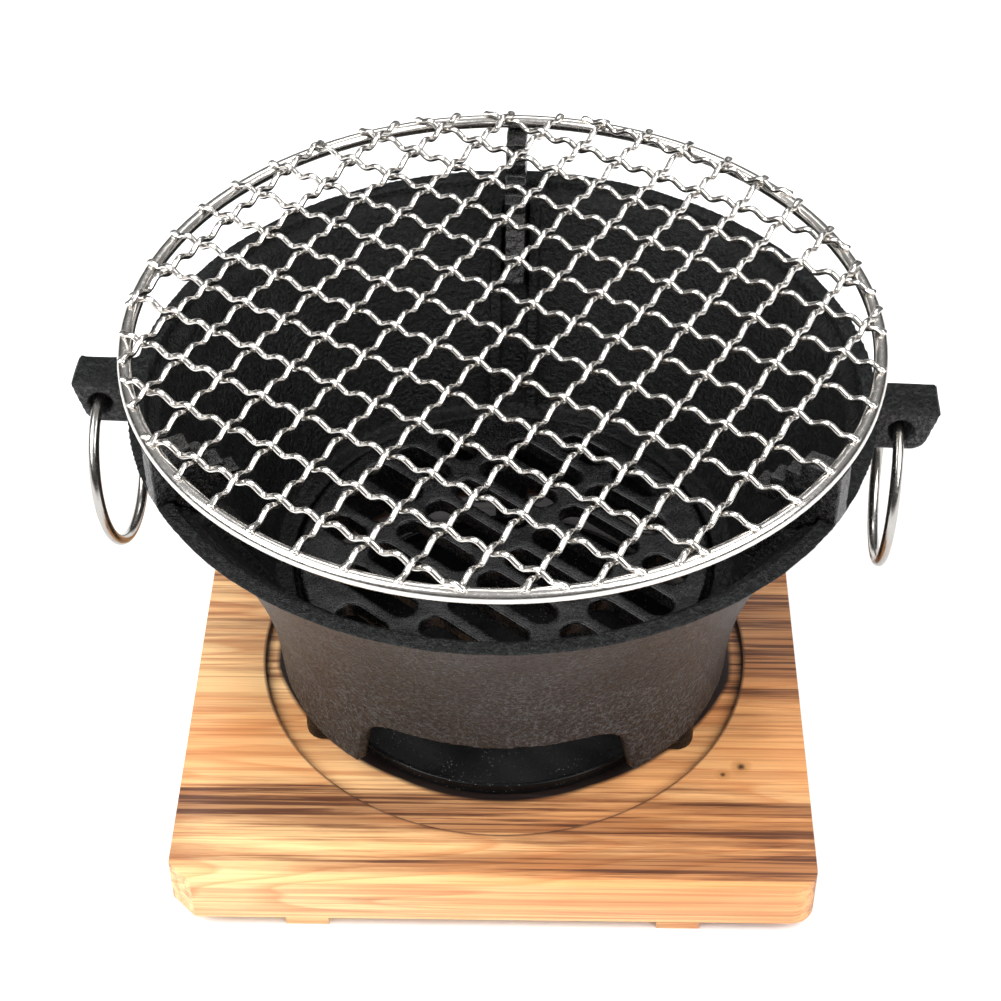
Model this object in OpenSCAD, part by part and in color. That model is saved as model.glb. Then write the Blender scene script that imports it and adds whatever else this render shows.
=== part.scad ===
// Round cast hibachi grill on a wooden stand, with a crimped wire net on three stepped supports.
// The base stands on z = 0 and the axis of the bowl is the z axis. The ash door faces -y.

/* [Stand] */
// Width of the board, left to right
board_w = 211; // [200:1:240]
// Depth of the board, front to back
board_d = 212; // [200:1:240]
// Thickness of the board
board_t = 18; // [14:0.5:24]
// Diameter of the round recess in the board
recess_d = 170; // [168:1:190]
// Depth of the round recess
recess_depth = 3; // [2:0.5:5]
// Thickness of each batten under the board
batten_t = 6; // [5:0.5:12]
// Width of each batten
batten_w = 14; // [10:1:30]
// Distance between the middles of the battens
batten_gap = 122; // [80:1:150]
// Turn of the stand under the bowl, in degrees
stand_turn = 1.5; // [-5:0.5:5]
// How far the board's outline sits to the left of its recess
board_shift = 2.2; // [0:0.1:4]

/* [Bowl] */
// Outer radius of the rim
rim_r = 119.7; // [118:0.1:122]
// Height of the rim above the board
rim_z = 122.5; // [120:0.5:126]
// Width of the flat top of the rim
rim_w = 5.6; // [4.5:0.1:7]
// Radius of the narrowest part of the skirt
waist_r = 78.5; // [77:0.1:80]
// Height of the skirt's lower edge above the board
skirt_z = 9.3; // [7:0.1:12]
// Height of the shelf that holds the charcoal grate
shelf_z = 47; // [44:0.5:50]
// Wall thickness of the bowl
wall = 5.5; // [4.5:0.1:6]

/* [Supports and net] */
// Thickness of a net support
support_t = 7; // [5:0.5:8]
// Height of one step of a net support
tread_h = 4.9; // [4:0.1:5.5]
// Outer diameter of the net's rim rod
net_d = 240; // [236:1:244]
// Diameter of the net's rim rod
rod_d = 4.7; // [4:0.1:6]
// Diameter of the net's wires
wire_d = 2.0; // [1.6:0.1:2.4]

/* [Handles] */
// Outer diameter of a handle ring
ring_d = 59; // [52:1:62]
// Diameter of the handle ring's wire
ring_wire = 3.6; // [3:0.1:4]
// Diameter of the hole in each lug
lug_hole_d = 8; // [7.8:0.1:8.4]

/* [Hidden] */
$fn = 96;
deck_z = batten_t + board_t;            // top of the board above the floor

// Board and battens
corner_r = 5;
corner_cut = 8;
front_corner_r = 8;
batten_inset = 2;
nail_d = 1.8;
nail_head_d = 3.6;
nail_head_t = 0.9;
nail_len = 16;
nail_rows = [-80, 0, 80];

// Bowl: the skirt flares as a parabola above its waist
waist_z = 5;
lip_over = 1.44;
flare_k = (rim_r - lip_over - waist_r) / pow(rim_z - waist_z, 2);
wall_steps = 24;
lip_in_z = rim_z - 5;                   // where the inner wall starts, under the rim's step
rebate_r = 72;
rebate_z = shelf_z - 4;
seat_r = 64;
seat_t = 3;
skirt_wall = 4;
function skirt_r(z) = waist_r + flare_k * pow(z - waist_z, 2);
function inner_r(z) = skirt_r(z) - wall;

// Guide ribs on the inner wall, a pair at each support
support_azimuths = [90, 210, 330];
rib_w = 4;
rib_gap = 9.4;
rib_proud = 3;
rib_low_z = shelf_z - 1;
rib_top_z = lip_in_z - 0.8;

// Ash door in the skirt
door_top_z = 39.2;
door_turn = 50;
door_edge_low = -18.7;
door_edge_top = -26.7;
door_corner_r = 18;
door_back = 10;                         // the cut reaches this far behind the axis

// Feet and ash tray
foot_r = 6.3;
foot_at_r = 71;
foot_top_z = 25;
foot_inner_r = 67.3;
foot_azimuths = [90, -148, -32];
tray_r = 66.5;
tray_h = 5.6;
tray_t = 1.2;
tray_bead = 0.8;

// Lugs
lug_w = 13.8;
lug_turn = -0.8;                        // how far the line through both lugs is turned
lug_r = 138.7;
lug_low_z = rim_z - 16.5;
lug_hole_left_r = 129.8;
lug_hole_right_r = 126.7;
lug_hole_z = rim_z - 8.7;
lug_round_r = 5.6;
ring_left = [130.5, -2.2, 5.8];         // distance from the axis, turn and inward lean of the left ring
ring_right = [126.7, -2.7, 2.1];        // the same for the right ring
ring_hang_z = lug_hole_z + 0.2;         // the wire's middle inside the hole
ring_mean_r = (ring_d - ring_wire) / 2;

// Charcoal grate
grate_r = 70;
grate_t = 5.8;
grate_turn = -39;
slot_w = 9.5;
slot_pitch = 14.3;
slot_count = 4;                         // slots on each side of the middle one
grate_ring_r = 63.5;
cross_rib_w = 5;
cross_rib_at = 37;
slot_shortest = 12;

// Net supports: a stair of four treads that falls toward the bowl's axis
support_out_r = rim_r - 0.2;
tread_r = [106.3, 101.5, 96.7, 91.9];
net_rod_z = 144.1;                      // middle of the rim rod above the board
tread_top_z = net_rod_z - rod_d / 2 - 0.05;
tail_low_z = 95;
tail_w = 8;
tail_clear = 0.5;

// Net wires: two crossing layers
net_rod_r = (net_d - rod_d) / 2;
wires_a_turn = -31.65;
wires_a_pitch = 16.52;
wires_a_shift = -4.48;
wires_b_turn = 61.2;
wires_b_pitch = 15.66;
wires_b_shift = -3.74;
wires_first = -6;
wires_last = 7;
wire_weld = 0.3;
wires_a_z = net_rod_z + rod_d / 2 + wire_d / 2 - wire_weld;
wires_b_z = wires_a_z + wire_d + 0.05;

wire_ids = [for (i = [wires_first : wires_last]) i - wires_first + 1];
function wire_name(set, id) = str("net_wire_", set, "_", id < 10 ? "0" : "", id);

// Points of an arc from angle a0 to a1
function arc(cx, cy, r, a0, a1, n) =
    [for (i = [0 : n]) let (a = a0 + (a1 - a0) * i / n) [cx + r * cos(a), cy + r * sin(a)]];

// The nails' places under one batten
module at_nails(side) {
    for (y = nail_rows) translate([side * batten_gap / 2 - board_shift, y, 0]) children();
}

module nail(play = 0) {
    cylinder(d = nail_head_d + play, h = nail_head_t);
    cylinder(d = nail_d + play, h = nail_len);
}

module on_stand() {
    rotate(stand_turn) children();
}

module board() {
    x = board_w / 2;
    y = board_d / 2;
    outline = concat(
        [[-x, -y + corner_cut], [-x + corner_cut, -y]],
        arc(x - front_corner_r, -y + front_corner_r, front_corner_r, -90, 0, 8),
        arc(x - corner_r, y - corner_r, corner_r, 0, 90, 8),
        arc(-x + corner_r, y - corner_r, corner_r, 90, 180, 8));
    color("burlywood") on_stand() difference() {
        translate([-board_shift, 0, batten_t]) linear_extrude(board_t) polygon(outline);
        translate([0, 0, deck_z - recess_depth]) cylinder(d = recess_d, h = board_t);
        for (side = [-1, 1]) at_nails(side) nail();
    }
}

module batten(side) {
    length = board_d - 2 * batten_inset;
    color("tan") on_stand() difference() {
        translate([side * batten_gap / 2 - board_shift - batten_w / 2, -length / 2, 0])
            cube([batten_w, length, batten_t]);
        at_nails(side) nail();
    }
}

module batten_nails() {
    color("gray") on_stand() for (side = [-1, 1]) at_nails(side) nail();
}

module wall_shell() {
    outer = [for (i = [0 : wall_steps])
        let (z = skirt_z + (rim_z - 3 - skirt_z) * i / wall_steps) [skirt_r(z), z]];
    lip = [[rim_r - 0.3, rim_z - 0.6], [rim_r, rim_z - 0.3], [rim_r - 0.3, rim_z]];
    step = [[rim_r - rim_w, rim_z], [rim_r - rim_w - 0.7, rim_z - 3], [inner_r(lip_in_z), lip_in_z]];
    inner = [for (i = [0 : wall_steps])
        let (z = lip_in_z - (lip_in_z - shelf_z) * i / wall_steps) [inner_r(z), z]];
    seat = [[rebate_r, shelf_z], [rebate_r, rebate_z], [seat_r, rebate_z], [seat_r, rebate_z - seat_t],
        [skirt_r(rebate_z - seat_t) - skirt_wall, rebate_z - seat_t]];
    under = [for (i = [1 : wall_steps / 2])
        let (z = rebate_z - seat_t - (rebate_z - seat_t - skirt_z) * i / (wall_steps / 2))
        [skirt_r(z) - skirt_wall, z]];
    rotate_extrude() polygon(concat(outer, lip, step, [for (i = [1 : wall_steps]) inner[i]], seat, under));
}

// Two ribs beside each support's tail, cut from one band along the inner wall
module guide_ribs() {
    band = concat(
        [for (i = [0 : wall_steps])
            let (z = rib_low_z + (rib_top_z - rib_low_z) * i / wall_steps) [inner_r(z) + 2, z]],
        [for (i = [wall_steps : -1 : 0])
            let (z = rib_low_z + (rib_top_z - rib_low_z) * i / wall_steps) [inner_r(z) - rib_proud, z]]);
    intersection() {
        rotate_extrude() polygon(band);
        for (a = support_azimuths, side = [-1, 1])
            rotate(a) translate([waist_r - 20, side * (rib_gap + rib_w) / 2 - rib_w / 2, 0])
                cube([60, rib_w, rim_z]);
    }
}

// A lug's outline in the x-z plane: sloping end, rounded lower corner
module lug(side) {
    tip = arc(lug_r - 2.7 - lug_round_r, lug_low_z + lug_round_r, lug_round_r, -90, -8, 8);
    outline = concat([[106, lug_low_z]], tip, [[lug_r, rim_z - 1.2], [lug_r - 0.8, rim_z], [rim_r - 3, rim_z]]);
    mirror([side < 0 ? 1 : 0, 0, 0])
        translate([0, lug_w / 2, 0]) rotate([90, 0, 0]) linear_extrude(lug_w) polygon(outline);
}

// The ash door: each side has its own sloping outline with a round upper corner, turned outward.
// The door is what the two sides have in common.
module ash_door() {
    low_z = skirt_z - 2;
    lean = atan2(door_top_z - skirt_z, door_edge_top - door_edge_low);
    pull = door_corner_r * tan((180 - lean) / 2);
    corner_x = door_edge_top - pull * cos(lean) - door_corner_r * sin(lean);
    low_x = door_edge_low + 2 / tan(180 - lean);
    edge = arc(corner_x, door_top_z - door_corner_r, door_corner_r, lean - 90, 90, 8);
    outline = concat([[-rim_r, low_z], [low_x, low_z]], edge, [[-rim_r, door_top_z]]);
    intersection_for (side = [0, 1]) mirror([side, 0, 0]) rotate(door_turn)
        translate([0, door_back, 0]) rotate([90, 0, 0]) linear_extrude(rim_r + door_back) polygon(outline);
}

module feet() {
    difference() {
        for (a = foot_azimuths) rotate(a) translate([foot_at_r, 0, -recess_depth])
            cylinder(r = foot_r, h = recess_depth + foot_top_z);
        translate([0, 0, -recess_depth - 1]) cylinder(r = foot_inner_r, h = rim_z);
    }
}

module stove_body() {
    color([0.16, 0.15, 0.15]) translate([0, 0, deck_z]) difference() {
        union() {
            wall_shell();
            guide_ribs();
            feet();
            rotate(lug_turn) lug(-1);
            rotate(lug_turn) lug(1);
        }
        ash_door();
        for (x = [-lug_hole_left_r, lug_hole_right_r]) rotate(lug_turn) translate([x, lug_w, lug_hole_z])
            rotate([90, 0, 0]) cylinder(d = lug_hole_d, h = 2 * lug_w);
    }
}

module ash_tray() {
    foot = tray_r - 0.5;
    lip = tray_r - tray_bead;
    color([0.05, 0.05, 0.05]) translate([0, 0, deck_z - recess_depth]) rotate_extrude() union() {
        polygon([[0, 0], [foot - tray_t, 0], [foot, tray_t], [lip + tray_t / 2, tray_h - tray_bead],
            [lip - tray_t / 2, tray_h - tray_bead], [foot - tray_t, tray_t], [0, tray_t]]);
        translate([lip, tray_h - tray_bead]) circle(r = tray_bead, $fn = 24);
    }
}

// One slot with round ends, from u0 to u1 along its length
module slot(u0, u1) {
    r = slot_w / 2;
    translate([u0 + r, -r]) square([u1 - u0 - slot_w, slot_w]);
    for (u = [u0 + r, u1 - r]) translate([u, 0]) circle(r = r, $fn = 48);
}

module charcoal_grate() {
    near = cross_rib_w / 2;
    color([0.25, 0.25, 0.26]) translate([0, 0, deck_z + rebate_z]) rotate(grate_turn)
        linear_extrude(grate_t) difference() {
            circle(r = grate_r, $fn = 128);
            for (k = [-slot_count : slot_count], side = [0, 1]) mirror([side, 0])
                translate([0, k * slot_pitch]) {
                    reach = sqrt(pow(grate_ring_r, 2) - pow(abs(k) * slot_pitch + slot_w / 4, 2));
                    inner_end = min(reach, cross_rib_at - near);
                    if (inner_end - near > slot_shortest) slot(near, inner_end);
                    if (reach - cross_rib_at - near > slot_shortest) slot(cross_rib_at + near, reach);
                }
        }
}

// A support lies along +x; its stair, flat foot and tail are one outline
module net_support(azimuth) {
    stair = [for (i = [0 : 3]) each [
        [i == 0 ? support_out_r : tread_r[i - 1], tread_top_z - i * tread_h],
        [tread_r[i], tread_top_z - i * tread_h]]];
    tail_in = [for (z = [tail_low_z, 102, 110, lip_in_z]) [inner_r(z) - tail_clear - tail_w, z]];
    tail_out = [for (z = [lip_in_z, 110, 102, tail_low_z]) [inner_r(z) - tail_clear, z]];
    outline = concat(stair, [[tread_r[3], rim_z], [tail_in[3][0], rim_z]],
        [for (i = [3 : -1 : 0]) tail_in[i]], [for (i = [3 : -1 : 0]) tail_out[i]],
        [[rim_r - rim_w - 1.5, rim_z - 2], [rim_r - rim_w - 1, rim_z], [support_out_r, rim_z]]);
    color([0.30, 0.29, 0.28]) translate([0, 0, deck_z]) rotate(azimuth)
        translate([0, support_t / 2, 0]) rotate([90, 0, 0]) linear_extrude(support_t) polygon(outline);
}

// A ring hangs through its lug's hole; place holds its distance from the axis, turn and lean
module handle_ring(side, place) {
    color([0.7, 0.7, 0.7]) translate([side * place[0], 0, deck_z + ring_hang_z])
        rotate(place[1]) rotate([0, side * place[2], 0]) translate([0, 0, -ring_mean_r])
            rotate([0, 90, 0]) rotate_extrude() translate([ring_mean_r, 0]) circle(d = ring_wire, $fn = 32);
}

module net_ring() {
    color([0.8, 0.8, 0.8]) translate([0, 0, deck_z + net_rod_z])
        rotate_extrude($fn = 128) translate([net_rod_r, 0]) circle(d = rod_d, $fn = 32);
}

// One straight wire: a chord of the rim rod's circle at the given offset from its middle
module net_wire(turn, offset, z) {
    half = sqrt(pow(net_rod_r + 0.5, 2) - pow(offset, 2));
    color([0.85, 0.85, 0.85]) translate([0, 0, deck_z + z]) rotate(turn)
        translate([-half, offset, 0]) rotate([0, 90, 0]) cylinder(d = wire_d, h = 2 * half, $fn = 24);
}

module net_wire_a(id) {
    net_wire(wires_a_turn, (id - 1 + wires_first) * wires_a_pitch + wires_a_shift, wires_a_z);
}

module net_wire_b(id) {
    net_wire(wires_b_turn, (id - 1 + wires_first) * wires_b_pitch + wires_b_shift, wires_b_z);
}

board();
batten(-1);  // batten_left
batten(1);  // batten_right
batten_nails();
stove_body();
ash_tray();
charcoal_grate();
net_support(support_azimuths[0]);  // support_rear
net_support(support_azimuths[1]);  // support_left
net_support(support_azimuths[2]);  // support_right
handle_ring(-1, ring_left);  // handle_ring_left
handle_ring(1, ring_right);  // handle_ring_right
net_ring();
for (id = wire_ids) net_wire_a(id);
for (id = wire_ids) net_wire_b(id);
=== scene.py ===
"""Looks for the hibachi grill: cast bowl, woven net, ring handles, ash tray and scorched wooden stand."""
import math

import bpy
from mathutils import Matrix, Vector, noise


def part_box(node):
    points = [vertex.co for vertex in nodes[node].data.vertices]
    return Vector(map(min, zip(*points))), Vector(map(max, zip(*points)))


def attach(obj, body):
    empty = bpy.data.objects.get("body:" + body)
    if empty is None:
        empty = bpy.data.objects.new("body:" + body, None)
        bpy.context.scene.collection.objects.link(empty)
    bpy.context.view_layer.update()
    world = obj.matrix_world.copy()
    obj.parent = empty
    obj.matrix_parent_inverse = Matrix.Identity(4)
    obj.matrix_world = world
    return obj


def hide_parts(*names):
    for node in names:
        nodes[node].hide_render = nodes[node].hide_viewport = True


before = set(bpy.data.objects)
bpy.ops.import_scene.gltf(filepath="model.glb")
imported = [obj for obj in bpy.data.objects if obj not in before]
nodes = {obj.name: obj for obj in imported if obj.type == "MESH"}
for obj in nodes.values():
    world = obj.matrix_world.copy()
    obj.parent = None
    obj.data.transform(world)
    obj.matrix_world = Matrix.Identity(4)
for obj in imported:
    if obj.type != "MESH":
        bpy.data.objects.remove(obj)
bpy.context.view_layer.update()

MM = 0.001
net_low, net_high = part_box("net_ring")
deck_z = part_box("board")[1].z             # top of the board
ring_z = (net_low.z + net_high.z) / 2     # middle of the net's rim rod
rod_r = (net_high.z - net_low.z) / 2
net_r = (net_high.x - net_low.x) / 2 - rod_r
recess_r = 85 * MM                        # the board's round recess
WAIST_Z = 5 * MM                          # the skirt's narrowest place, above the deck
WAIST_R = 78.5 * MM
FLARE = 2.88                              # radius gained per height squared above the waist, in metres
TOP_Z = 115.5 * MM                        # where the rim and lugs begin, above the waist


# ---------------------------------------------------------------- camera

def make_camera():
    """A long lens that looks down at the grill from just right of its front."""
    yaw, pitch, roll = math.radians(-2.762), math.radians(42.73), math.radians(-0.309)
    ahead = Vector((math.sin(yaw) * math.cos(pitch), math.cos(yaw) * math.cos(pitch), -math.sin(pitch)))
    right = Vector((math.cos(yaw), -math.sin(yaw), 0))
    up = right.cross(ahead)
    right, up = (
        right * math.cos(roll) + up * math.sin(roll),
        up * math.cos(roll) - right * math.sin(roll),
    )
    data = bpy.data.cameras.new("camera")
    data.sensor_width = 36
    data.lens = 80.36
    camera = bpy.data.objects.new("camera", data)
    bpy.context.collection.objects.link(camera)
    eye = Vector((0.0255, -0.5498, deck_z + 0.5796))
    camera.matrix_world = Matrix.Translation(eye) @ Matrix((right, up, -ahead)).transposed().to_4x4()
    bpy.context.scene.camera = camera


# ---------------------------------------------------------------- material helpers

class Nodes:
    """Short calls that add shader nodes to one material."""

    def __init__(self, name):
        self.material = bpy.data.materials.new(name)
        self.material.use_nodes = True
        self.tree = self.material.node_tree
        self.shader = self.tree.nodes["Principled BSDF"]
        self.place = self.add("ShaderNodeTexCoord").outputs["Object"]

    def add(self, kind, inputs=None, **settings):
        node = self.tree.nodes.new(kind)
        for key, value in settings.items():
            setattr(node, key, value)
        for key, value in (inputs or {}).items():
            self.feed(node.inputs[key], value)
        return node

    def feed(self, socket, value):
        if isinstance(value, bpy.types.NodeSocket):
            self.tree.links.new(value, socket)
        else:
            socket.default_value = value

    def set(self, **values):
        for key, value in values.items():
            self.feed(self.shader.inputs[key.replace("_", " ")], value)

    def math(self, operation, a, b=0.0, clamp=False):
        node = self.add("ShaderNodeMath", {0: a, 1: b}, operation=operation)
        node.use_clamp = clamp
        return node.outputs[0]

    def stretch(self, scale, vector=None):
        node = self.add("ShaderNodeMapping", {"Vector": vector or self.place, "Scale": scale})
        return node.outputs["Vector"]

    def noise(self, scale, detail=4.0, rough=0.55, vector=None):
        node = self.add("ShaderNodeTexNoise", {"Scale": scale, "Detail": detail, "Roughness": rough,
                                               "Vector": vector or self.place})
        return node.outputs["Fac"]

    def cells(self, scale):
        return self.add("ShaderNodeTexVoronoi", {"Scale": scale, "Vector": self.place}).outputs["Distance"]

    def axes(self):
        """The X, Y and Z of the place."""
        return self.add("ShaderNodeSeparateXYZ", {0: self.place}).outputs

    def radius(self):
        """The distance from the bowl's axis."""
        flat = self.add("ShaderNodeVectorMath", {0: self.place, 1: (1, 1, 0)}, operation="MULTIPLY")
        return self.add("ShaderNodeVectorMath", {0: flat.outputs[0]}, operation="LENGTH").outputs["Value"]

    def along(self, value, start):
        """A fraction that is 0 at the start and 1 at 100 mm past it."""
        return self.math("MULTIPLY", self.math("SUBTRACT", value, start), 10.0)

    def ramp(self, value, *stops):
        node = self.add("ShaderNodeValToRGB", {"Fac": value})
        marks = node.color_ramp.elements
        while len(marks) < len(stops):
            marks.new(0.5)
        for mark, (position, shade) in zip(marks, stops):
            mark.position = position
            mark.color = (*shade, 1) if isinstance(shade, tuple) else (shade, shade, shade, 1)
        return node.outputs["Color"]

    def mix(self, amount, a, b, blend="MIX"):
        node = self.add("ShaderNodeMix", data_type="RGBA", blend_type=blend)
        for socket, value in ((node.inputs[0], amount), (node.inputs[6], a), (node.inputs[7], b)):
            self.feed(socket, (*value, 1) if isinstance(value, tuple) and len(value) == 3 else value)
        return node.outputs[2]

    def bump(self, height, distance, strength=1.0, under=None):
        inputs = {"Height": height, "Distance": distance, "Strength": strength}
        if under is not None:
            inputs["Normal"] = under
        return self.add("ShaderNodeBump", inputs).outputs["Normal"]


# ---------------------------------------------------------------- materials

def cast_paint(name, zones, grain_scale, grain_depth, roughness, level):
    """Heat-proof paint on sand-cast iron: granular, with paler grains where the grain is highest.

    zones(n) gives the base colour, which differs from place to place; for the bowl it also holds painted
    shade and painted light.
    """
    n = Nodes(name)
    grain = n.noise(grain_scale, 3, 0.6)
    fine = n.noise(grain_scale * 2.3, 2)
    speckle = n.ramp(n.math("ADD", n.math("MULTIPLY", grain, 0.6), n.math("MULTIPLY", fine, 0.4)),
                     (0.41, 0.18), (0.50, 0.80), (0.60, 3.1))
    n.set(Base_Color=n.mix(1.0, zones(n), speckle, "MULTIPLY"))
    n.set(Roughness=n.ramp(fine, (0.3, roughness - 0.12), (0.7, roughness + 0.12)))
    n.set(Normal=n.bump(fine, grain_depth * 0.4, under=n.bump(grain, grain_depth)))
    n.set(Specular_IOR_Level=level)
    return n.material


def patchy(dark, light):
    """A colour that drifts between two tones."""
    return lambda n: n.mix(n.ramp(n.noise(30, 3), (0.4, 0.0), (0.6, 1.0)), dark, light)


def bowl_lit_and_shaded(n):
    """One paint, lit and shaded in its colour: near black inside as painted shade, a lighter grey-brown
    outside as painted light from the table below, and darker on the rim and lugs as painted shade.
    """
    skin = 2.2 * MM
    skirt_foot = 3.5 * MM
    rise = n.math("SUBTRACT", n.axes()["Z"], deck_z + WAIST_Z)
    skirt = n.math("ADD", n.math("MULTIPLY", n.math("MULTIPLY", rise, rise), FLARE), WAIST_R)
    outside = n.math("MULTIPLY", n.math("GREATER_THAN", n.math("SUBTRACT", n.radius(), skirt), -skin),
                     n.math("GREATER_THAN", rise, skirt_foot))
    top = n.math("GREATER_THAN", rise, TOP_Z)
    # Painted shade makes the inside near black; painted light makes the skirt outside lighter; both drift
    # at random in tone.
    body = n.mix(outside, patchy((0.0022, 0.0022, 0.0022), (0.0050, 0.0050, 0.0050))(n),
                 patchy((0.0145, 0.0145, 0.0150), (0.0220, 0.0230, 0.0240))(n))
    # Painted shade: the rim and lugs are darker than the skirt.
    return n.mix(top, body, (0.0055, 0.006, 0.006))


def steel(name, tone, roughness, stained):
    """Drawn stainless wire: fine marks, faint brown tint in places."""
    n = Nodes(name)
    marks = n.noise(700, 3, 0.6)
    stain = n.ramp(n.noise(60, 4), (0.45, 0.0), (0.75, 1.0))
    plain = n.mix(n.math("MULTIPLY", marks, 0.35), (tone, tone * 0.965, tone * 0.92),
                  (tone * 0.78, tone * 0.75, tone * 0.71))
    n.set(Base_Color=n.mix(n.math("MULTIPLY", stain, stained), plain, (0.38, 0.29, 0.20)))
    n.set(Roughness=n.ramp(marks, (0.3, roughness - 0.05), (0.7, roughness + 0.09)))
    n.set(Normal=n.bump(n.noise(1500, 2), 0.008 * MM, 0.4))
    n.set(Metallic=1.0)
    return n.material


def gloss_enamel(name):
    """Gloss black paint on pressed sheet, with a little pale dust on it."""
    n = Nodes(name)
    dust = n.ramp(n.cells(760), (0.10, 1.0), (0.20, 0.0))
    patch = n.ramp(n.noise(70, 3), (0.42, 0.0), (0.60, 1.0))
    specks = n.math("MULTIPLY", dust, patch)
    n.set(Base_Color=n.mix(n.math("MULTIPLY", specks, 0.55), (0.0035, 0.0035, 0.004), (0.30, 0.29, 0.27)))
    n.set(Roughness=n.ramp(n.noise(900, 3), (0.35, 0.27), (0.7, 0.33)))
    n.set(Specular_IOR_Level=0.16)
    return n.material


GRAIN_TURN = math.radians(-1.5)           # the board and its grain are turned a little about Z
KNOTS = (                                 # each knot's place on the board, and its radius
    ((82.5 * MM, -52.6 * MM), 4.2 * MM),
    ((76.3 * MM, -56.3 * MM), 3.0 * MM),
)


def scorched_wood(name, burnt=True):
    """Flat-sawn softwood with its grain along x, brushed and scorched in streaks."""
    n = Nodes(name)
    grain = n.add("ShaderNodeMapping", {"Vector": n.place, "Rotation": (0, 0, GRAIN_TURN)}).outputs[0]
    rings = n.math("MULTIPLY", n.noise(1.0, 2, 0.45, n.stretch((2.6, 30, 30), grain)), 19.0)
    late = n.ramp(n.math("FRACT", rings), (0.0, 0.10), (0.55, 0.20), (0.90, 1.0), (1.0, 0.10))
    fibre = n.noise(1.0, 4, 0.7, n.stretch((30, 1500, 1500), grain))
    lines = n.ramp(n.noise(1.0, 4, 0.65, n.stretch((5, 520, 520), grain)), (0.47, 0.0), (0.56, 1.0))
    colour = honey(n, grain, late, lines, fibre)
    # Scorch, knots and the painted shade of the recess are on the board only.
    if burnt:
        colour = scorched(n, grain, lines, colour)
        for spot, size in KNOTS:
            colour = knot(n, colour, spot, size)
        colour = recess_painted_shade(n, colour)
    n.set(Base_Color=colour)
    n.set(Roughness=n.ramp(fibre, (0.3, 0.40), (0.7, 0.62)))
    relief = n.math("ADD", n.math("MULTIPLY", late, -0.6), n.math("MULTIPLY", fibre, 0.6))
    n.set(Normal=n.bump(relief, 0.18 * MM, 0.8))
    return n.material


def honey(n, grain, late, lines, fibre):
    """Unburnt wood: broad pale and orange areas, darker late wood, and thin brown lines and fibres."""
    wide = n.ramp(n.noise(1.0, 2, 0.5, n.stretch((9, 24, 24), grain)), (0.38, 0.0), (0.62, 1.0))
    colour = n.mix(wide, (0.90, 0.595, 0.285), (0.79, 0.39, 0.15))
    colour = n.mix(n.math("MULTIPLY", late, 0.55), colour, (0.56, 0.19, 0.055))
    colour = n.mix(n.math("MULTIPLY", lines, 0.42), colour, (0.36, 0.095, 0.028))
    threads = n.math("MULTIPLY", n.ramp(fibre, (0.45, 0.0), (0.75, 1.0)), 0.30)
    return n.mix(threads, colour, (0.38, 0.15, 0.045))


def scorched(n, grain, lines, colour):
    """Turns the wood brown in bands, and nearly black along the lines in them."""
    bands = n.noise(1.0, 6, 0.68, n.stretch((5, 95, 95), grain))
    scorch = n.ramp(n.math("ADD", bands, scorch_places(n)), (0.53, 0.0), (0.62, 0.40), (0.72, 1.0))
    darkest = n.math("ADD", n.math("MULTIPLY", lines, 0.62), 0.32)
    colour = n.mix(n.math("MULTIPLY", scorch, 0.62), colour, (0.34, 0.10, 0.026))
    return n.mix(n.math("MULTIPLY", scorch, darkest, clamp=True), colour, (0.070, 0.022, 0.010))


def scorch_places(n):
    """Where the board is burnt most: in front of the stove and on the right; its front edge stays pale."""
    axes = n.axes()
    front = n.ramp(n.along(axes["Y"], -104 * MM),
                   (0.00, 0.0), (0.06, 0.9), (0.34, 1.0), (0.46, 0.12), (0.80, 0.08), (1.0, 0.55))
    right = n.ramp(n.along(axes["X"], -20 * MM), (0.2, 0.0), (0.9, 1.0))
    behind = n.ramp(n.along(axes["Y"], -50 * MM), (0.0, 0.0), (0.35, 1.0))
    back_right = n.math("MULTIPLY", n.math("MULTIPLY", right, behind), 0.17)
    return n.math("SUBTRACT", n.math("ADD", n.math("MULTIPLY", front, 0.25), back_right), 0.06)


def knot(n, colour, spot, size):
    """A small dark knot with a paler ring."""
    middle = (*spot, deck_z)
    gap = n.add("ShaderNodeVectorMath", {0: n.place, 1: middle}, operation="DISTANCE").outputs["Value"]
    wobble = n.math("MULTIPLY", n.math("SUBTRACT", n.noise(500, 2), 0.5), 0.4)
    reach = n.math("ADD", n.math("DIVIDE", gap, size), wobble)
    colour = n.mix(n.ramp(reach, (0.45, 0.75), (1.0, 0.0)), colour, (0.50, 0.22, 0.07))
    return n.mix(n.ramp(reach, (0.12, 0.95), (0.42, 0.0)), colour, (0.035, 0.012, 0.007))


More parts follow.
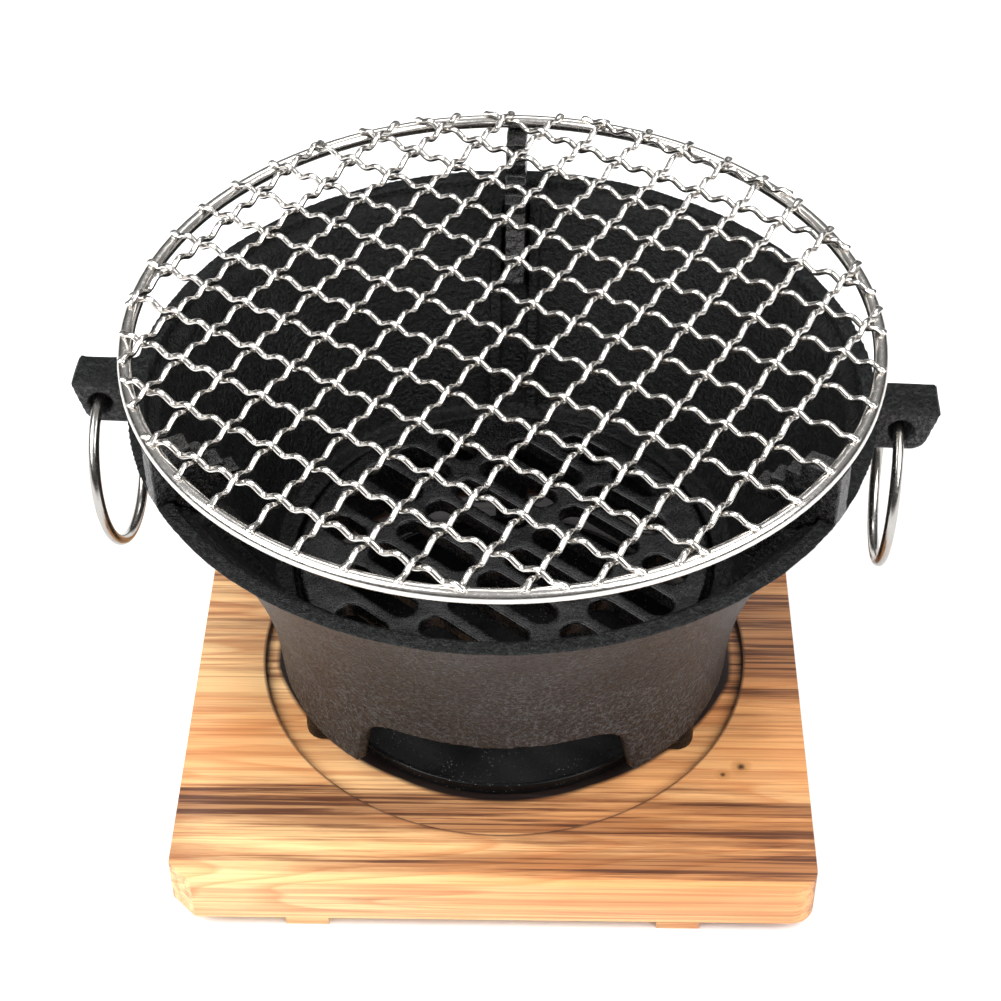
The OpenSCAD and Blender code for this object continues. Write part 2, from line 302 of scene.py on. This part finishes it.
def recess_painted_shade(n, colour):
    """Paints shade on the wall of the board's round recess, and paints the recess floor under the stove
    near black as painted shade.
    """
    axes = n.axes()
    radius = n.radius()
    below_deck = n.math("LESS_THAN", axes["Z"], deck_z - 0.4 * MM)
    at_back = n.math("GREATER_THAN", axes["Y"], 40 * MM)
    # The painted shade under the stove reaches 69.5 mm out in front, and up to 18 mm further toward the
    # back.
    further = n.ramp(n.along(axes["Y"], -60 * MM), (0.0, 0.0), (0.5, 0.67), (0.95, 0.67), (1.0, 1.0))
    limit = n.math("ADD", n.math("MULTIPLY", further, 18 * MM), 69.5 * MM)
    under = n.ramp(n.math("MULTIPLY", n.math("SUBTRACT", limit, radius), 400.0), (0.0, 0.0), (0.7, 1.0))
    shade_under_stove = n.math("MULTIPLY", under, n.math("MAXIMUM", below_deck, at_back))
    # Painted shade under the stove, where little light reaches the board.
    colour = n.mix(shade_under_stove, colour, (0.010, 0.005, 0.004))
    # Painted shade on the recess wall, in a thin ring around it.
    off_wall = n.math("ABSOLUTE", n.math("SUBTRACT", radius, recess_r))
    wall = n.ramp(n.math("MULTIPLY", off_wall, 250.0), (0.08, 1.0), (0.25, 0.0))
    return n.mix(n.math("MULTIPLY", wall, 0.75), colour, (0.055, 0.022, 0.012))


# ---------------------------------------------------------------- mesh helpers

def piece_from(name, vertices, faces, material, body, replaced):
    """A smooth-shaded piece made from vertices and faces."""
    mesh = bpy.data.meshes.new(name)
    mesh.from_pydata(vertices, [], faces)
    mesh.validate()
    mesh.shade_smooth()
    return place_piece(name, mesh, material, body, replaced)


def place_piece(name, mesh, material, body, replaced):
    """A new object for the mesh, which rides on a body and stands for some CAD nodes."""
    mesh.materials.clear()
    mesh.materials.append(material)
    piece = bpy.data.objects.new(name, mesh)
    bpy.context.collection.objects.link(piece)
    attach(piece, body)
    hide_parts(*replaced)
    return piece


def softened(node, voxel, rounds, skin):
    """The CAD node's shape with its edges rounded as in a sand casting, then moved out by skin(point)."""
    work = bpy.data.objects.new("work", nodes[node].data.copy())
    bpy.context.collection.objects.link(work)
    work.modifiers.new("weld", "WELD").merge_threshold = 0.002 * MM
    remesh = work.modifiers.new("remesh", "REMESH")
    remesh.mode = "VOXEL"
    remesh.voxel_size = voxel
    smooth = work.modifiers.new("smooth", "SMOOTH")
    smooth.factor = 0.5
    smooth.iterations = rounds
    mesh = bpy.data.meshes.new_from_object(work.evaluated_get(bpy.context.evaluated_depsgraph_get()))
    bpy.data.objects.remove(work)
    moved = [v.co + v.normal * skin(v.co) for v in mesh.vertices]
    for vertex, place in zip(mesh.vertices, moved):
        vertex.co = place
    mesh.shade_smooth()
    return mesh


def rough_cast(scale, depth, seed):
    """How far a casting's slightly lumpy skin stands out at a point."""
    start = Vector((seed, 2 * seed, 3 * seed))
    return lambda point: depth * noise.noise(point * scale + start)


def planed(node, round_over):
    """The CAD node's shape with its sharp edges rounded over."""
    work = bpy.data.objects.new("work", nodes[node].data.copy())
    bpy.context.collection.objects.link(work)
    work.modifiers.new("weld", "WELD").merge_threshold = 0.002 * MM
    flat = work.modifiers.new("flat", "DECIMATE")
    flat.decimate_type = "DISSOLVE"
    flat.angle_limit = math.radians(0.5)
    bevel = work.modifiers.new("bevel", "BEVEL")
    bevel.width = round_over
    bevel.segments = 3
    bevel.angle_limit = math.radians(40)
    mesh = bpy.data.meshes.new_from_object(work.evaluated_get(bpy.context.evaluated_depsgraph_get()))
    bpy.data.objects.remove(work)
    mesh.shade_smooth()
    mesh.set_sharp_from_angle(angle=math.radians(35))
    return mesh


def tube(path, across, side, segments=14):
    """Vertices and faces of a closed tube; path points each have (width, height) in across."""
    vertices, faces = [], []
    count = len(path)
    for i, point in enumerate(path):
        ahead = (path[min(i + 1, count - 1)] - path[max(i - 1, 0)]).normalized()
        up = ahead.cross(side).normalized()
        wide, high = across[i]
        for k in range(segments):
            angle = 2 * math.pi * k / segments
            vertices.append(point + side * (wide * math.cos(angle)) + up * (high * math.sin(angle)))
    for i in range(count - 1):
        for k in range(segments):
            a, b = i * segments + k, i * segments + (k + 1) % segments
            faces.append((a, b, b + segments, a + segments))
    faces.append(tuple(reversed(range(segments))))
    faces.append(tuple(range((count - 1) * segments, count * segments)))
    return vertices, faces


# ---------------------------------------------------------------- the net

WIRE_R = 1.02 * MM
CRIMP = 1.14 * MM                         # how far a crimp leaves the wires' middle plane
HALF_WAVES = 3                            # crimps from one crossing to the next
STEP = 0.42 * MM                          # distance between a wire's points
OVERHANG = 0.9 * MM                       # how far the wires reach past the middle of the rim rod
WELD_LENGTH = 3.2 * MM                    # flattened end of a wire
WELD_RISE, WELD_WIDER, WELD_THINNER = 0.62, 0.42, 0.30
# The two sets of wires: their turn about Z, their spacing, and the shift of the wire nearest the middle
SETS = {
    "a": {"turn": math.radians(-31.65), "pitch": 16.52 * MM, "shift": -4.48 * MM},
    "b": {"turn": math.radians(61.2), "pitch": 15.66 * MM, "shift": -3.74 * MM},
}
FIRST, LAST = -6, 7
NET_Z = ring_z + 3.15 * MM               # middle plane of the woven wires


def crimped_wire(which, index, material):
    """One wire of the net: crimped, over and under the others in turn, spot-welded at its ends."""
    own = SETS[which]
    other = SETS["b" if which == "a" else "a"]
    along = Vector((math.cos(own["turn"]), math.sin(own["turn"]), 0))
    side = Vector((-along.y, along.x, 0))
    offset = index * own["pitch"] + own["shift"]
    middle = side * offset
    half = math.sqrt((net_r + OVERHANG) ** 2 - offset ** 2)
    crossing = Vector((-math.sin(other["turn"]), math.cos(other["turn"]), 0))
    slope = along.dot(crossing)
    spacing = other["pitch"] / abs(slope)
    start = (other["shift"] - middle.dot(crossing)) / slope
    over = index % 2 == 1 if which == "a" else index % 2 == 0
    sign = 1 if over else -1
    weld_z = ring_z + rod_r + WIRE_R * WELD_RISE
    steps = int(2 * half / STEP)
    path, across = [], []
    for i in range(steps + 1):
        s = -half + 2 * half * i / steps
        wave = math.cos(HALF_WAVES * math.pi * (s - start) / spacing)
        height = NET_Z + sign * CRIMP * wave
        from_end = half - abs(s)
        inward = min(1.0, from_end / (2 * WELD_LENGTH))
        free = inward * inward * (3 - 2 * inward)
        squash = 1 - min(1.0, from_end / WELD_LENGTH)
        path.append(middle + along * s + Vector((0, 0, weld_z + (height - weld_z) * free)))
        across.append((WIRE_R * (1 + WELD_WIDER * squash), WIRE_R * (1 - WELD_THINNER * squash)))
    for end in (0, -1):
        round_tip(path, across, along * (-1 if end == 0 else 1), end)
    name = f"crimped_wire_{which}_{index - FIRST + 1:02d}"
    vertices, faces = tube(path, across, side)
    node = f"net_wire_{which}_{index - FIRST + 1:02d}"
    return piece_from(name, vertices, faces, material, "net", [node])


def round_tip(path, across, outward, end):
    """Rounds one end of a wire with three shrinking rings."""
    wide, high = across[end]
    last = path[end].copy()
    for turn in (35, 65, 84):
        angle = math.radians(turn)
        point = last + outward * (high * math.sin(angle))
        size = (wide * math.cos(angle), high * math.cos(angle))
        if end == 0:
            path.insert(0, point)
            across.insert(0, size)
        else:
            path.append(point)
            across.append(size)


def make_net(material):
    for which in SETS:
        for index in range(FIRST, LAST + 1):
            crimped_wire(which, index, material)


# ---------------------------------------------------------------- floor and light

def make_stage():
    """A wide pale floor."""
    bpy.ops.mesh.primitive_plane_add(size=12, location=(0, 0, 0))
    floor = bpy.context.object
    floor.name = "floor"
    n = Nodes("pale_floor")
    n.set(Base_Color=n.mix(n.noise(3, 2), (0.86, 0.86, 0.86), (0.89, 0.89, 0.885)))
    n.set(Roughness=0.9)
    floor.data.materials.append(n.material)


BOWL_MIDDLE = Vector((0, 0, 0.10))


def softbox(name, place, size, power):
    """A rectangular area light that points at the bowl."""
    data = bpy.data.lights.new(name, "AREA")
    data.shape = "RECTANGLE"
    data.size, data.size_y = size
    data.energy = power
    lamp = bpy.data.objects.new(name, data)
    bpy.context.collection.objects.link(lamp)
    lamp.location = place
    lamp.rotation_mode = "QUATERNION"
    lamp.rotation_quaternion = (BOWL_MIDDLE - Vector(place)).to_track_quat("-Z", "Y")


def make_world():
    """A dim studio that is darker toward the horizon, so that black paint stays black."""
    world = bpy.data.worlds.new("studio")
    bpy.context.scene.world = world
    world.use_nodes = True
    tree = world.node_tree
    place = tree.nodes.new("ShaderNodeTexCoord")
    parts = tree.nodes.new("ShaderNodeSeparateXYZ")
    ramp = tree.nodes.new("ShaderNodeValToRGB")
    tree.links.new(place.outputs["Generated"], parts.inputs[0])
    tree.links.new(parts.outputs["Z"], ramp.inputs["Fac"])
    tree.links.new(ramp.outputs["Color"], tree.nodes["Background"].inputs["Color"])
    marks = ramp.color_ramp.elements
    marks[0].position, marks[0].color = 0.2, (0.06, 0.06, 0.06, 1)
    marks[1].position, marks[1].color = 0.9, (0.50, 0.50, 0.50, 1)
    tree.nodes["Background"].inputs["Strength"].default_value = 1.0


def make_lights():
    make_world()
    softbox("left", (-1.0, -0.5, 1.25), (1.2, 1.3), 40)
    softbox("right", (1.0, -0.55, 1.25), (1.2, 1.3), 34)
    softbox("back", (0.1, 1.1, 1.9), (1.2, 0.5), 11)


# ---------------------------------------------------------------- assembly

make_camera()

stove_paint = cast_paint("stove_paint", bowl_lit_and_shaded, grain_scale=700, grain_depth=1.10 * MM,
                         roughness=0.42, level=0.20)
grate_black = patchy((0.0024, 0.0024, 0.0026), (0.0048, 0.0048, 0.0052))
grate_paint = cast_paint("grate_paint", grate_black, grain_scale=900, grain_depth=0.08 * MM,
                         roughness=0.25, level=0.25)
support_black = patchy((0.006, 0.006, 0.006), (0.014, 0.013, 0.012))
support_paint = cast_paint("support_paint", support_black, grain_scale=800, grain_depth=0.60 * MM,
                           roughness=0.24, level=0.45)
net_metal = steel("net_metal", tone=0.70, roughness=0.19, stained=0.12)
ring_metal = steel("ring_metal", tone=0.38, roughness=0.20, stained=0.30)
nail_metal = steel("nail_metal", tone=0.50, roughness=0.35, stained=0.40)
tray_paint = gloss_enamel("tray_paint")
board_wood = scorched_wood("board_wood")
batten_wood = scorched_wood("batten_wood", burnt=False)

bowl_mesh = softened("stove_body", 0.8 * MM, 3, rough_cast(160, 0.16 * MM, seed=3))
place_piece("cast_bowl", bowl_mesh, stove_paint, "stove", ["stove_body"])
grate_mesh = softened("charcoal_grate", 0.6 * MM, 6, rough_cast(140, 0.16 * MM, seed=5))
place_piece("cast_grate", grate_mesh, grate_paint, "grate", ["charcoal_grate"])
for i, side in enumerate(("rear", "left", "right")):
    node = f"support_{side}"
    support_mesh = softened(node, 0.4 * MM, 6, rough_cast(420, 0.30 * MM, seed=7 + i))
    place_piece(f"cast_{node}", support_mesh, support_paint, node, [node])
place_piece("planed_board", planed("board", 0.7 * MM), board_wood, "stand", ["board"])
for side in ("left", "right"):
    node = f"batten_{side}"
    place_piece(f"planed_{node}", planed(node, 0.5 * MM), batten_wood, "stand", [node])
make_net(net_metal)

for node, material in (("net_ring", net_metal), ("handle_ring_left", ring_metal),
                       ("handle_ring_right", ring_metal), ("ash_tray", tray_paint),
                       ("batten_nails", nail_metal)):
    data = nodes[node].data
    data.materials.clear()
    data.materials.append(material)

make_stage()
make_lights()
bpy.context.scene.view_settings.view_transform = "Standard"
